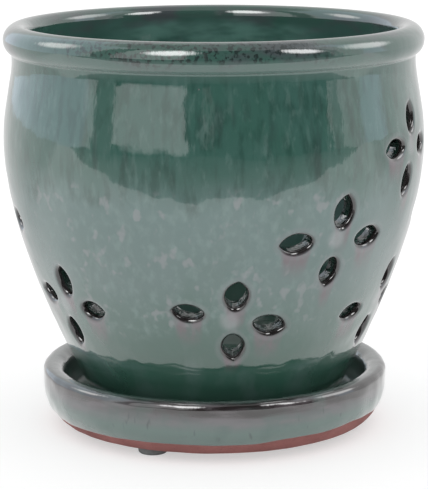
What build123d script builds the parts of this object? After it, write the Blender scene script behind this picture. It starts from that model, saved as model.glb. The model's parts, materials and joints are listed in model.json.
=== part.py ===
from build123d import *
import math
import os

os.makedirs("parts", exist_ok=True)

# Orchid pot with leaf-shaped air slots, standing in its saucer on three rubber feet.
# Millimetres, +Z up. The origin is the centre of the footprint, on the surface that the feet
# stand on. The front of the pot looks along -Y, and a bearing is the angle round the pot from
# the front towards +X.

# Pot wall. It is one curve from foot to neck. A flare is how far the wall leans out for each
# millimetre of height at that end, and a pull is how far the curve's handle reaches from there.
foot_radius = 48.5
foot_flare = 0.51
foot_pull = 95.0
neck_radius = 79.2
neck_height = 135.0
neck_flare = 0.06
neck_pull = 21.0
wall = 8.2

# Pot floor, with a central drain hole and a flat ring to stand on
pot_floor_thickness = 9.0
pot_floor_bevel = 5.0
foot_ring_width = 9.0
foot_recess = 1.5
drain_radius = 8.0

# Rolled rim, a round bead that stands proud of the neck outside and a little inside
rim_rise = 8.7
rim_overhang_outside = 3.3
rim_overhang_inside = 0.9

# Slot flowers. Four slots make a flower, and the flowers stand in two pyramids on opposite
# sides of the pot, with three in the low row, two in the middle row and one at the top.
low_row_height = 45.5
row_pitch = 30.0
low_row_flowers = 6
pyramid_count = 2
pyramid_bearing = 64.7
petals = 4
flower_reach_across = 15.8
flower_reach_up = 11.4
flower_lean = -5.0

# One slot, a leaf with two pointed tips, cut square through the wall
slot_length = 13.4
slot_width = 8.6
slot_overrun = 3.0

# Saucer, wide enough to leave a moat round the pot's foot
moat_width = 9.5
saucer_wall_lean = 3.2
lip_thickness = 7.8
lip_height = 17.5
side_height = 13.0
base_inset = 6.6
saucer_floor_thickness = 7.0
saucer_floor_bevel = 2.5
base_ring_width = 17.0
base_recess = 1.5

# Rubber feet, stick-on discs with drafted sides on the saucer's base ring
pad_count = 3
pad_radius = 6.0
pad_draft = 0.5
pad_height = 3.2
first_pad_bearing = -26.0

# Heights from the surface that the feet stand on
base_z = pad_height
saucer_under_z = base_z + base_recess
saucer_floor_z = base_z + saucer_floor_thickness
side_z = base_z + side_height
lip_z = base_z + lip_height
foot_z = saucer_floor_z
pot_under_z = foot_z + foot_recess
pot_floor_z = foot_z + pot_floor_thickness
neck_z = foot_z + neck_height
rim_z = neck_z + rim_rise

# Radii that follow from the sizes above
foot_ring_radius = foot_radius - foot_ring_width
neck_inner_radius = neck_radius - wall
bead_radius = (wall + rim_overhang_outside + rim_overhang_inside) / 2
bead_circle_radius = neck_radius + rim_overhang_outside - bead_radius
saucer_floor_radius = foot_radius + moat_width
lip_inner_radius = saucer_floor_radius + saucer_wall_lean
lip_radius = lip_thickness / 2
saucer_radius = lip_inner_radius + lip_thickness
base_radius = saucer_radius - base_inset
base_ring_radius = base_radius - base_ring_width
pad_circle_radius = base_radius - base_ring_width / 2


def wall_curve(inset, lift):
    """Handles of the wall's curve, moved in by inset, from lift above the foot to the neck."""
    start = (foot_radius + foot_flare * lift - inset, foot_z + lift)
    climb = foot_pull - lift
    end = (neck_radius - inset, neck_z)
    return [
        start,
        (start[0] + foot_flare * climb, start[1] + climb),
        (end[0] + neck_flare * neck_pull, end[1] - neck_pull),
        end,
    ]


def vertex_near(sketch, x, y):
    """The corner of a sketch that lies nearest to a point."""
    return sketch.vertices().sort_by_distance((x, y, 0))[0]


outer_wall = wall_curve(0, 0)
inner_wall = wall_curve(wall, pot_floor_thickness + pot_floor_bevel)


def wall_plane(bearing, z, turn=0):
    """A plane on the outside of the wall that faces out square to it.

    Its x runs round the wall, turned by an angle towards the rim.
    """
    low_share, high_share = 0.0, 1.0
    halvings = 40
    for _ in range(halvings):
        share = (low_share + high_share) / 2
        left = 1 - share
        weights = (left**3, 3 * left**2 * share, 3 * left * share**2, share**3)
        radius, height = (sum(w * p[i] for w, p in zip(weights, outer_wall)) for i in (0, 1))
        if height < z:
            low_share = share
        else:
            high_share = share
    leg_weights = (left**2, 2 * left * share, share**2)
    legs = [(b[0] - a[0], b[1] - a[1]) for a, b in zip(outer_wall, outer_wall[1:])]
    out, climb = (sum(w * leg[i] for w, leg in zip(leg_weights, legs)) for i in (0, 1))
    angle = math.radians(bearing)
    outward = Vector(math.sin(angle), -math.cos(angle), 0)
    across = Vector(math.cos(angle), math.sin(angle), 0)
    up = (outward * out + Vector(0, 0, climb)).normalized()
    turn_angle = math.radians(turn)
    return Plane(
        origin=outward * radius + Vector(0, 0, z),
        x_dir=across * math.cos(turn_angle) + up * math.sin(turn_angle),
        z_dir=across.cross(up),
    )


def flower_places():
    """Bearing and height of the middle of every slot flower."""
    step = 360 / low_row_flowers
    low_z = foot_z + low_row_height
    rows = [(low_z, (-1, 0, 1)), (low_z + row_pitch, (-0.5, 0.5)), (low_z + 2 * row_pitch, (0,))]
    middles = [pyramid_bearing + i * 360 / pyramid_count for i in range(pyramid_count)]
    return [(m + place * step, z) for m in middles for z, places in rows for place in places]


def slot_planes():
    """A plane on the wall for every slot, with x pointing away from its flower's middle."""
    planes = []
    for bearing, z in flower_places():
        origin = wall_plane(bearing, z).origin
        radius = math.hypot(origin.X, origin.Y)
        for petal in range(petals):
            turn = flower_lean + petal * 360 / petals
            angle = math.radians(turn)
            around = math.degrees(flower_reach_across * math.cos(angle) / radius)
            up = flower_reach_up * math.sin(angle)
            planes.append(wall_plane(bearing + around, z + up, turn))
    return planes


# The tool that cuts one slot, with the outside of the wall at z = 0 and the inside below it
with BuildPart() as slot_cutter:
    with BuildSketch(Plane.XY.offset(slot_overrun)):
        with BuildLine():
            tip = slot_length / 2
            ThreePointArc((-tip, 0), (0, slot_width / 2), (tip, 0))
            ThreePointArc((tip, 0), (0, -slot_width / 2), (-tip, 0))
        make_face()
    extrude(amount=-(wall + 2 * slot_overrun))

with BuildPart() as pot:
    with BuildSketch(Plane.XZ) as pot_section:
        with BuildLine():
            Polyline(
                (drain_radius, pot_under_z),
                (foot_ring_radius, pot_under_z),
                (foot_ring_radius, foot_z),
                outer_wall[0],
            )
            Bezier(*outer_wall)
            Polyline(outer_wall[-1], (neck_radius, rim_z), (neck_inner_radius, rim_z), inner_wall[-1])
            Bezier(*inner_wall)
            Polyline(
                inner_wall[0],
                (inner_wall[0][0] - pot_floor_bevel, pot_floor_z),
                (drain_radius, pot_floor_z),
                (drain_radius, pot_under_z),
            )
        make_face()
        with Locations((bead_circle_radius, rim_z)):
            Circle(bead_radius)
    revolve(axis=Axis.Z)
    with Locations(*slot_planes()):
        add(slot_cutter.part, mode=Mode.SUBTRACT)

with BuildPart() as saucer:
    with BuildSketch(Plane.XZ) as saucer_section:
        with BuildLine():
            Polyline(
                (0, saucer_under_z),
                (base_ring_radius, saucer_under_z),
                (base_ring_radius, base_z),
                (base_radius, base_z),
            )
            TangentArc((saucer_radius, side_z), (base_radius, base_z), tangent=(0, -1))
            Line((saucer_radius, side_z), (saucer_radius, lip_z))
            ThreePointArc(
                (saucer_radius, lip_z),
                (saucer_radius - lip_radius, lip_z + lip_radius),
                (lip_inner_radius, lip_z),
            )
            Polyline(
                (lip_inner_radius, lip_z),
                (saucer_floor_radius, saucer_floor_z),
                (0, saucer_floor_z),
                (0, saucer_under_z),
            )
        make_face()
        chamfer(vertex_near(saucer_section, saucer_floor_radius, saucer_floor_z), saucer_floor_bevel)
    revolve(axis=Axis.Z)

pot.part.label = "pot"
saucer.part.label = "saucer"
export_step(pot.part, "parts/pot.step")
export_step(saucer.part, "parts/saucer.step")

for number in range(pad_count):
    angle = math.radians(first_pad_bearing + number * 360 / pad_count)
    with BuildPart() as rubber_foot:
        with Locations((pad_circle_radius * math.sin(angle), -pad_circle_radius * math.cos(angle))):
            Cone(
                bottom_radius=pad_radius - pad_draft,
                top_radius=pad_radius,
                height=pad_height,
                align=(Align.CENTER, Align.CENTER, Align.MIN),
            )
    rubber_foot.part.label = f"rubber_foot_{number + 1}"
    export_step(rubber_foot.part, f"parts/{rubber_foot.part.label}.step")
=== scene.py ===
import json
import math
from functools import partial

import bmesh
import bpy
import numpy as np
from mathutils import Matrix, Vector, noise

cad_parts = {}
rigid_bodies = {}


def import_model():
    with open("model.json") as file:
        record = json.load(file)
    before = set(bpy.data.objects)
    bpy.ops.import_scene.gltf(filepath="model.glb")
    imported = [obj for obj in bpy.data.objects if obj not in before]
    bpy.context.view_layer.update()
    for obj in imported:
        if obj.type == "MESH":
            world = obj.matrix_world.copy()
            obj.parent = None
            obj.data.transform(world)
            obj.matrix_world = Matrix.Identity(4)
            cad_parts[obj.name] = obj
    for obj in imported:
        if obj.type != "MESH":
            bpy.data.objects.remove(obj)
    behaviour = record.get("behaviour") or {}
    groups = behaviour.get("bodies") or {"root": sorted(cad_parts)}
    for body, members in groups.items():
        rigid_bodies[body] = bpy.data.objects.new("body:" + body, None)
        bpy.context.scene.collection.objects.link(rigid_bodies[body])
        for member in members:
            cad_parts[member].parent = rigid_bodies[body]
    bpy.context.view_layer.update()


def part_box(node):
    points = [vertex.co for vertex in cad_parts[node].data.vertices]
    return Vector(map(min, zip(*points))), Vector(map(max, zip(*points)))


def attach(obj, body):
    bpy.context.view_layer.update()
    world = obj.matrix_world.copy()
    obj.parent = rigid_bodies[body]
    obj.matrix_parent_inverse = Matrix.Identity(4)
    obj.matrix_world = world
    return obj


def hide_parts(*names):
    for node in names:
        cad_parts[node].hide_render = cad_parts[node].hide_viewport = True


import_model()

# The pieces' lengths are written in millimetres and turned to metres when a mesh is finished. The
# studio's are in metres. A bearing is the angle round the pot, from the front (-Y) towards +X. It
# is in degrees, but for the arrays of points on the wall, where it is in radians.
MM = 0.001

# Pot wall: the cubic curves that the thrown wall follows outside and inside, from foot to neck. A
# flare is how far the wall leans out for each millimetre of height at that end, and a pull is how
# far the curve's handle reaches from there. A wall is its thickness there, and the inner curve
# starts higher up than the outer one, where the floor's bevel ends.
FOOT_RADIUS = 48.5
FOOT_Z = 10.2
FOOT_FLARE = 0.51
FOOT_PULL = 95.0
NECK_RADIUS = 79.2
NECK_Z = 145.2
NECK_FLARE = 0.06
NECK_PULL = 21.0
FOOT_WALL = 8.2
NECK_WALL = 6.8
INNER_START = 14.0
WALL_SAMPLES = 2001

# Pot floor, foot ring and drain hole, and the roundings of their edges
POT_FLOOR_Z = 19.2
POT_FLOOR_BEVEL = 5.0
POT_FLOOR_ROUNDING = 6.0
FOOT_RING_INSIDE = 39.5
FOOT_RING_ROUNDING = 0.7
FOOT_ROUNDING = 1.0
FOOT_EDGE_HEIGHT = 1.5
LOW_WALL_STEPS = 6
POT_UNDER_Z = 11.7
DRAIN_RADIUS = 8.0
DRAIN_UNDER_ROUNDING = 0.8
DRAIN_FLOOR_ROUNDING = 1.2

# Rolled rim: a round bead outside, with a small cove where it meets the neck, that ends flush with
# the inside of the neck in a smaller rounding
BEAD_RADIUS = 6.2
BEAD_CIRCLE = 76.3
BEAD_START = -57.0
BEAD_STEPS = 30
RIM_Z = 153.9
RIM_ROUNDING = 4.4
RIM_ROUNDING_STEPS = 12
OUTER_COVE = 1.0
OUTER_COVE_STEPS = 5
NECK_INSIDE_RINGS = 5

# The slotted wall is covered by diamond cells, on a lattice of 24 columns round the pot whose rows
# are half a row of flowers apart. Every second place holds a cell, two columns wide and two rows
# high. A slot takes one cell, and the cells without a slot are plain. The lowest and the highest
# cells are cut off level, at their middles, where the foot and the rim have the same vertices.
LATTICE_BEARING = 4.7
LOW_ROW_Z = 55.7
ROW_PITCH = 30.0
CELLS_ROUND = 24
CELL_BEARING = 360 / CELLS_ROUND
CELL_Z = ROW_PITCH / 2
LOWEST_CELL = -2
HIGHEST_CELL = 6
SIDE_STEPS = 12
COLUMNS = CELLS_ROUND * SIDE_STEPS // 2
SLOTTED_LOW_Z = LOW_ROW_Z + CELL_Z * LOWEST_CELL
SLOTTED_HIGH_Z = LOW_ROW_Z + CELL_Z * HIGHEST_CELL

# Slot flowers: four slots each, in two pyramids of three rows. Columns and steps are the lattice's,
# a width is a number of flowers, and a flower's slots are in the order right, up, left, down.
PYRAMID_COLUMNS = (4, 16)
PYRAMID_WIDTHS = (3, 2, 1)
FLOWER_STEP = 4
ROW_STEP = 2
PETAL_STEPS = ((1, 0), (0, 1), (-1, 0), (0, -1))
REACH_ACROSS = 15.8
REACH_UP = 11.4
FLOWER_LEAN = -5.0

# One slot: a leaf that is sharp away from its flower's middle and blunter towards it, with a
# rounded lip. The length and width are those of the dark opening, which starts part of the way
# up the lip. A tip is the power that draws the outline in towards it, and 1 is an ellipse. At the
# lip's outer edge the tips are rounder by a share.
SLOT_LENGTH = 13.2
SLOT_WIDTH = 8.7
DARK_EDGE = 0.75
OUTER_LIP_WIDTH = 2.1
OUTER_LIP_DEPTH = 1.7
INNER_LIP = 1.0
SHARP_TIP = 1.7
BLUNT_TIP = 1.1
LIP_ROUNDING = 0.65

# Rings of vertices round a slot, as shares of the way out to the cell's edge, outside and inside,
# and of the way through the wall, and how many rings each lip has
OUTSIDE_RING_SHARES = (1.0, 0.8, 0.62, 0.46, 0.32, 0.2, 0.11, 0.045)
TUNNEL_RING_SHARES = (0.25, 0.5, 0.75)
INSIDE_RING_SHARES = (0.1, 0.3, 0.6, 1.0)
OUTER_LIP_RINGS = 8
INNER_LIP_RINGS = 5

# Each slot was cut by hand. For the slots that the photograph shows: how far it lies off the
# regular pattern round and up the pot in mm, how far it is turned in degrees, and its length and
# width. The keys are the flowers' middles on the lattice, and None is a slot that it hides.
HAND_CUT = {
    (0, 0): ((-0.2, -1.2, -9, 13.8, 9.1), (0.8, -1.0, -1, 12.7, 9.9),
             (0.3, 2.5, -4, 12.9, 7.7), (3.1, 0.4, 11, 12.4, 9.0)),
    (2, 2): ((1.1, 0.3, 8, 14.3, 8.7), (1.2, -0.8, -5, 13.9, 9.7),
             (-1.0, -0.9, 8, 14.1, 8.5), (1.2, -1.1, -4, 12.3, 8.9)),
    (4, 4): ((-1.4, 0.6, 2, 13.0, 8.6), (0.3, -0.1, -5, 12.4, 8.4),
             (2.9, 0.0, 8, 14.1, 8.2), (-1.1, -0.9, -15, 13.2, 8.4)),
    (4, 0): (None, (2.5, -1.8, -11, 13.4, 8.8), (-2.5, -2.9, 13, 12.7, 7.3), (1.3, -1.4, 2, 13.0, 8.6)),
    (20, 0): ((0.8, 1.4, 7, 12.4, 8.4), (2.9, -0.9, 5, 13.5, 9.1),
              (3.6, 1.8, 2, 13.2, 8.5), (0.6, 0.3, 1, 13.0, 8.8)),
}
# The other slots scatter as much, drawn from a fixed seed
SCATTER_SEED = 7
SCATTER_PLACE = 1.1
SCATTER_TURN = 6.0
SCATTER_SIZE = 0.45

# The cells' edges move along with the slots: how far in mm a slot's pull on them reaches, and the
# pull towards their regular places, which wins where no slot is near
CARRY_LENGTH = 11.0
REGULAR_PULL = 0.1

# Marks that the firing leaves round a slot, in mm: how far the thin glaze reaches from the slot's
# edge, how wide and long the mauve runs under it are, and how large the thin spot in the middle
# of a flower is and how far it sits above the middle. A run sets in over a short rise to the
# slot's lower edge, and is blunt there, soft at its sides and thinner the lower it gets. It ends
# where the wall's lower part begins.
SLOT_REACH = 4.0
RUN_LENGTH = 14.0
RUN_RISE = 1.0
RUN_THINNING = 1.3
RUN_OVERHANG = 0.6
RUN_SIDE_SOFTNESS = 2.4
RUN_BLUNTNESS = 0.04
RUN_END_Z = 32.0
RUN_END_SOFTNESS = 8
MIDDLE_RISE = 0.5
MIDDLE_REACH = 3.6

# A thrown wall wavers a little, in a broad swell and one that is finer and half as strong, with
# ripples that are strongest low down. It goes in nearly everywhere, so a piece keeps its size.
WAVER = 0.3
WAVER_LENGTH = 34.0
WAVER_MEAN = 0.8
WAVER_SWING = 0.5
FINER_SWELL = 2.2
RIPPLE = 0.1
RIPPLE_LENGTH = 6.0
LOW_RIPPLE_GAIN = 2.5
LOW_RIPPLE_TOP_Z = 60
STILL_RADIUS = 1

# Saucer: its side is an arc from the base up to the side's height and straight above that. The
# lip's top slopes: a fall is how far it lies under its full height outside and towards the moat,
# whose dull glaze starts a number of bands along the lip.
SAUCER_RADIUS = 69.0
SAUCER_BASE_Z = 3.2
SAUCER_BASE_RADIUS = 62.4
SAUCER_BASE_TOP_Z = 4.6
SAUCER_BASE_ROUNDING = 0.9
SAUCER_SIDE_Z = 16.2
SAUCER_SIDE_RINGS = 10
SAUCER_STRAIGHT_RINGS = 4
SAUCER_LIP_Z = 20.7
SAUCER_LIP_RADIUS = 3.9
SAUCER_LIP_WIDTH = 8.8
SAUCER_FLOOR_RADIUS = 58.0
SAUCER_FLOOR_Z = FOOT_Z
SAUCER_UNDER_Z = 4.7
SAUCER_RING_INSIDE = 45.4
SAUCER_RING_ROUNDING = 0.8
SAUCER_COLUMNS = 192
LIP_OUTER_FALL = 0.05
LIP_INNER_FALL = 0.35
LIP_OUTER_ROUNDING = 2.9
LIP_INNER_ROUNDING = 5.0
MOAT_ROUNDING = 3.0
SAUCER_ROUNDING_STEPS = 9
MOAT_BAND = 18

# The saucer's glaze stops above its base in a wavy edge and stands proud of the bare clay, with a
# rounded nose that starts some degrees round. The edge's heights go with bearings, from the
# photograph in front and invented behind.
GLAZE_THICKNESS = 0.3
GLAZE_EDGE_Z = 7.8
GLAZE_EDGE = (
    (-180, 7.4), (-140, 6.9), (-100, 7.6), (-58, 6.7), (-42, 7.2), (-29, 7.3), (-14, 7.9), (0, 7.4),
    (13, 7.6), (23, 8.6), (30, 8.8), (40, 8.8), (52, 9.9), (80, 9.2), (120, 8.0), (150, 7.7), (180, 7.4),
)
EDGE_RIPPLE = 0.25
EDGE_RIPPLE_LENGTH = 9.0
EDGE_NOSE_START = 22
EDGE_NOSE_RINGS = 4
GLAZED_START_Z = 8.8
BARE_START_Z = 5.2
BARE_RINGS = 5

# Rubber feet: how much narrower they are where they stand, and the roundings below and above
PAD_DRAFT = 0.5
PAD_ROUNDINGS = (0.8, 0.3)
PAD_COLUMNS = 48

# Points closer than this are one, and a profile's point this near the axis is on it
JOIN_LENGTH = 0.02
ON_AXIS = 1e-6


def linear(hex_colour):
    """An sRGB hex colour as linear RGBA."""
    parts = [int(hex_colour[i:i + 2], 16) / 255 for i in (1, 3, 5)]
    return tuple(c / 12.92 if c <= 0.04045 else ((c + 0.055) / 1.055) ** 2.4 for c in parts) + (1.0,)


def add_node(tree, kind, inputs=None, **settings):
    """Adds a node with its settings. Its inputs are values, sockets, or nodes whose output they take.

    Inputs that share a name are given by number, such as a Mix node's two colours, 6 and 7.
    """
    made = tree.nodes.new(kind)
    for name, value in settings.items():
        setattr(made, name, value)
    for name, value in (inputs or {}).items():
        if isinstance(value, bpy.types.Node):
            value = next(socket for socket in value.outputs if socket.enabled)
        if isinstance(value, bpy.types.NodeSocket):
            tree.links.new(value, made.inputs[name])
        else:
            made.inputs[name].default_value = value
    return made


def new_object(name, mesh, *materials):
    """An object in the scene, at the origin, with its mesh and that mesh's materials."""
    for material in materials:
        mesh.materials.append(material)
    obj = bpy.data.objects.new(name, mesh)
    bpy.context.scene.collection.objects.link(obj)
    return obj


def within_half(angle, full=2 * math.pi):
    """An angle brought to within half a turn of zero, either way."""
    return (angle + full / 2) % full - full / 2


# Pot: the wall's curve


def wall_table():
    """Heights up the outside of the wall, with its radius, its slope and the wall's level thickness."""
    share = np.linspace(0, 1, WALL_SAMPLES)
    weights = np.array([(1 - share) ** 3, 3 * (1 - share) ** 2 * share, 3 * (1 - share) * share**2, share**3])
    curves = []
    for foot_inset, neck_inset, lift in ((0, 0, 0), (FOOT_WALL, NECK_WALL, INNER_START)):
        start = (FOOT_RADIUS + FOOT_FLARE * lift - foot_inset, FOOT_Z + lift)
        climb = FOOT_PULL - lift
        neck = NECK_RADIUS - neck_inset
        handles = np.array([
            start, (start[0] + FOOT_FLARE * climb, start[1] + climb),
            (neck + NECK_FLARE * NECK_PULL, NECK_Z - NECK_PULL), (neck, NECK_Z),
        ])
        radius, z = handles.T @ weights
        # Above the neck the wall is straight
        curves.append((np.append(z, (SLOTTED_HIGH_Z, RIM_Z)), np.append(radius, (neck, neck))))
    (z, radius), (inner_z, inner_radius) = curves
    gap = np.where(z < inner_z[0], FOOT_WALL, radius - np.interp(z, inner_z, inner_radius))
    return z, radius, np.gradient(radius, z), gap


WALL_Z, WALL_RADIUS, WALL_SLOPE, WALL_GAP = wall_table()


def wall_radius(z):
    return np.interp(z, WALL_Z, WALL_RADIUS)


def wall_slope(z):
    return np.interp(z, WALL_Z, WALL_SLOPE)


def wall_gap(z):
    return np.interp(z, WALL_Z, WALL_GAP)


def on_wall(bearing, z, depth_share, depth):
    """Points (in mm) that lie a depth into the wall, square to its outside. Bearings in radians."""
    slope = wall_slope(z)
    upright = 1 / np.sqrt(1 + slope**2)
    inwards = depth_share * wall_gap(z) * upright + depth
    radius = wall_radius(z) - inwards * upright
    height = z + inwards * upright * slope
    return np.stack([radius * np.sin(bearing), -radius * np.cos(bearing), height], axis=1)


# Pot: unit cells of the lattice, whose vertices hold their places as attributes, and the lattice's
# points. The node tree puts each point's cell on the wall.
#
# On a vertex, edge is its place in the diamond |x| + |y| = 1, leaf is its place on a slot's outline
# of unit half-sizes with the growth of the outline as z, spread runs from 0 on the outline to 1 on
# the diamond, and depth_share and depth say how far it lies into the wall.
#
# On a point, cell and slot_at are the middles of the cell and of its slot, stretch turns lengths on
# the slot to lengths on the unrolled wall, size and turn are the slot's own, petal is its number in
# its flower, and patch says which cell mesh goes there.
OUTLINE_KINDS = {"edge": "FLOAT_VECTOR", "leaf": "FLOAT_VECTOR", "spread": "FLOAT"}
DEPTH_KINDS = {"depth_share": "FLOAT", "depth": "FLOAT"}
POINT_KINDS = {
    "cell": "FLOAT_VECTOR", "slot_at": "FLOAT_VECTOR", "stretch": "FLOAT_VECTOR", "size": "FLOAT_VECTOR",
    "turn": "FLOAT", "petal": "INT", "patch": "INT",
}
PLAIN, SLOTTED, UPPER_HALF, LOWER_HALF = range(4)


def carrying_mesh(name, place, faces, rows, kinds):
    """A mesh with a vertex for each row, at the row's value for place, that carries the row's values."""
    mesh = bpy.data.meshes.new(name)
    mesh.from_pydata([row[place] for row in rows], [], faces)
    for key, kind in kinds.items():
        layer = mesh.attributes.new(key, kind, "POINT")
        for item, row in zip(layer.data, rows):
            setattr(item, "vector" if kind == "FLOAT_VECTOR" else "value", row[key])
    return mesh


def plain_cell(side=0):
    """A diamond of the wall's outer and inner skin, or its upper (1) or lower (-1) half."""
    corners, faces = [], []
    for depth_share in (0.0, 1.0):
        index = {}
        for i in range(SIDE_STEPS + 1):
            for j in range(SIDE_STEPS + 1):
                x, y = (i + j) / SIDE_STEPS - 1, (i - j) / SIDE_STEPS
                if side * y < 0:
                    continue
                index[i, j] = len(corners)
                corners.append({"edge": (x, y, 0), "leaf": (0, 0, 0), "spread": 1.0,
                                "depth_share": depth_share, "depth": 0.0})
        for i in range(SIDE_STEPS):
            for j in range(SIDE_STEPS):
                ring = [(i, j), (i + 1, j), (i + 1, j + 1), (i, j + 1)]
                face = [index[c] for c in ring if c in index]
                if len(face) > 2:
                    faces.append(face)
    return carrying_mesh("plain_cell", "edge", faces, corners, {**OUTLINE_KINDS, **DEPTH_KINDS})


def slot_rings():
    """Spread, outline growth, share of the wall and depth of each ring, from the outside in."""
    rings = [(spread, OUTER_LIP_WIDTH, 0.0, 0.0) for spread in OUTSIDE_RING_SHARES]
    for turn in np.linspace(0, math.pi / 2, OUTER_LIP_RINGS):
        growth = OUTER_LIP_WIDTH * (1 - math.sin(turn))
        rings.append((0.0, growth, 0.0, OUTER_LIP_DEPTH * (1 - math.cos(turn))))
    for share in TUNNEL_RING_SHARES:
        rings.append((0.0, 0.0, share, OUTER_LIP_DEPTH * (1 - share) - INNER_LIP * share))
    for turn in np.linspace(math.pi / 2, 0, INNER_LIP_RINGS):
        rings.append((0.0, INNER_LIP * (1 - math.sin(turn)), 1.0, -INNER_LIP * (1 - math.cos(turn))))
    return rings + [(spread, INNER_LIP, 1.0, 0.0) for spread in INSIDE_RING_SHARES]


def zigzag(turns):
    """Like a cosine of so many turns, but straight between 1 and -1. It runs round the diamond."""
    return abs((4 * turns) % 4 - 2) - 1


def slot_cell():
    """A diamond of the wall with one slot through it, whose sharp tip points to +x."""
    corners, faces = [], []
    spokes = 4 * SIDE_STEPS
    rings = slot_rings()
    for spread, growth, depth_share, depth in rings:
        for k in range(spokes):
            turns = k / spokes
            along, across = math.cos(2 * math.pi * turns), math.sin(2 * math.pi * turns)
            power = BLUNT_TIP + (SHARP_TIP - BLUNT_TIP) * (along + 1) / 2
            power = 1 + (power - 1) * (1 - LIP_ROUNDING * growth / OUTER_LIP_WIDTH)
            corners.append({
                "edge": (zigzag(turns), zigzag(turns - 0.25), 0),
                "leaf": (along, math.copysign(abs(across) ** power, across), growth * MM),
                "spread": spread, "depth_share": depth_share, "depth": depth,
            })
    for ring in range(len(rings) - 1):
        for k in range(spokes):
            a, b = ring * spokes + k, ring * spokes + (k + 1) % spokes
            faces.append([a, b, b + spokes, a + spokes])
    return carrying_mesh("slot_cell", "edge", faces, corners, {**OUTLINE_KINDS, **DEPTH_KINDS})


def cell_middle(i, j):
    """Bearing in degrees and height of the middle of a lattice cell."""
    return LATTICE_BEARING + CELL_BEARING * i, LOW_ROW_Z + CELL_Z * j


def slot_lattice():
    """The lattice cell, flower centre and petal number of every slot."""
    found = {}
    for column in PYRAMID_COLUMNS:
        for row, width in enumerate(PYRAMID_WIDTHS):
            for k in range(width):
                i, j = column + FLOWER_STEP * k - FLOWER_STEP * (width - 1) // 2, ROW_STEP * row
                for petal, (di, dj) in enumerate(PETAL_STEPS):
                    found[(i + di) % CELLS_ROUND, j + dj] = (i, j, petal)
    return found


def slot_places():
    """Bearing, height, turn, length and width of every slot, by lattice cell. Angles in degrees."""
    draw = np.random.default_rng(SCATTER_SEED)
    spreads = (SCATTER_PLACE, SCATTER_PLACE, SCATTER_TURN, SCATTER_SIZE, SCATTER_SIZE)
    places = {}
    for cell, (i, j, petal) in slot_lattice().items():
        scatter = draw.normal(0, 1, len(spreads)) * spreads
        drawn = tuple(scatter + (0, 0, 0, SLOT_LENGTH, SLOT_WIDTH))
        across, up, turned, length, width = HAND_CUT.get((i, j), (None,) * 4)[petal] or drawn
        turn = FLOWER_LEAN + 90 * petal
        flower_bearing, flower_z = cell_middle(i, j)
        z = flower_z + REACH_UP * math.sin(math.radians(turn)) + up
        around = (REACH_ACROSS * math.cos(math.radians(turn)) + across) / wall_radius(flower_z)
        places[cell] = (flower_bearing + math.degrees(around), z, turn + turned,
                        length - 2 * DARK_EDGE, width - 2 * DARK_EDGE, petal)
    return places


SLOTS = slot_places()


def lattice_points():
    """A mesh of points, one for each cell, that say what the cell holds and where."""
    rows = []
    cut_off = {LOWEST_CELL: UPPER_HALF, HIGHEST_CELL: LOWER_HALF}
    for j in range(LOWEST_CELL, HIGHEST_CELL + 1):
        for i in range(CELLS_ROUND):
            if (i + j) % 2 == 0:
                continue
            middle, middle_z = cell_middle(i, j)
            cell = (math.radians(middle), middle_z * MM, 0)
            row = {"cell": cell, "slot_at": cell, "stretch": (1, 1, 0), "size": (1, 1, 0),
                   "turn": 0.0, "petal": 0, "patch": cut_off.get(j, PLAIN)}
            if (i, j) in SLOTS:
                bearing, z, turn, length, width, petal = SLOTS[i, j]
                nearest = round((middle - bearing) / 360)
                lean = math.cos(math.atan(wall_slope(z)))
                row.update(
                    slot_at=(math.radians(bearing + 360 * nearest), z * MM, 0),
                    stretch=(1 / (wall_radius(z) * MM), lean, 0), turn=math.radians(turn),
                    size=(length / SLOT_LENGTH, width / SLOT_WIDTH, 0), petal=petal, patch=SLOTTED,
                )
            rows.append(row)
    return carrying_mesh("lattice_points", "cell", [], rows, POINT_KINDS)


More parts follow.
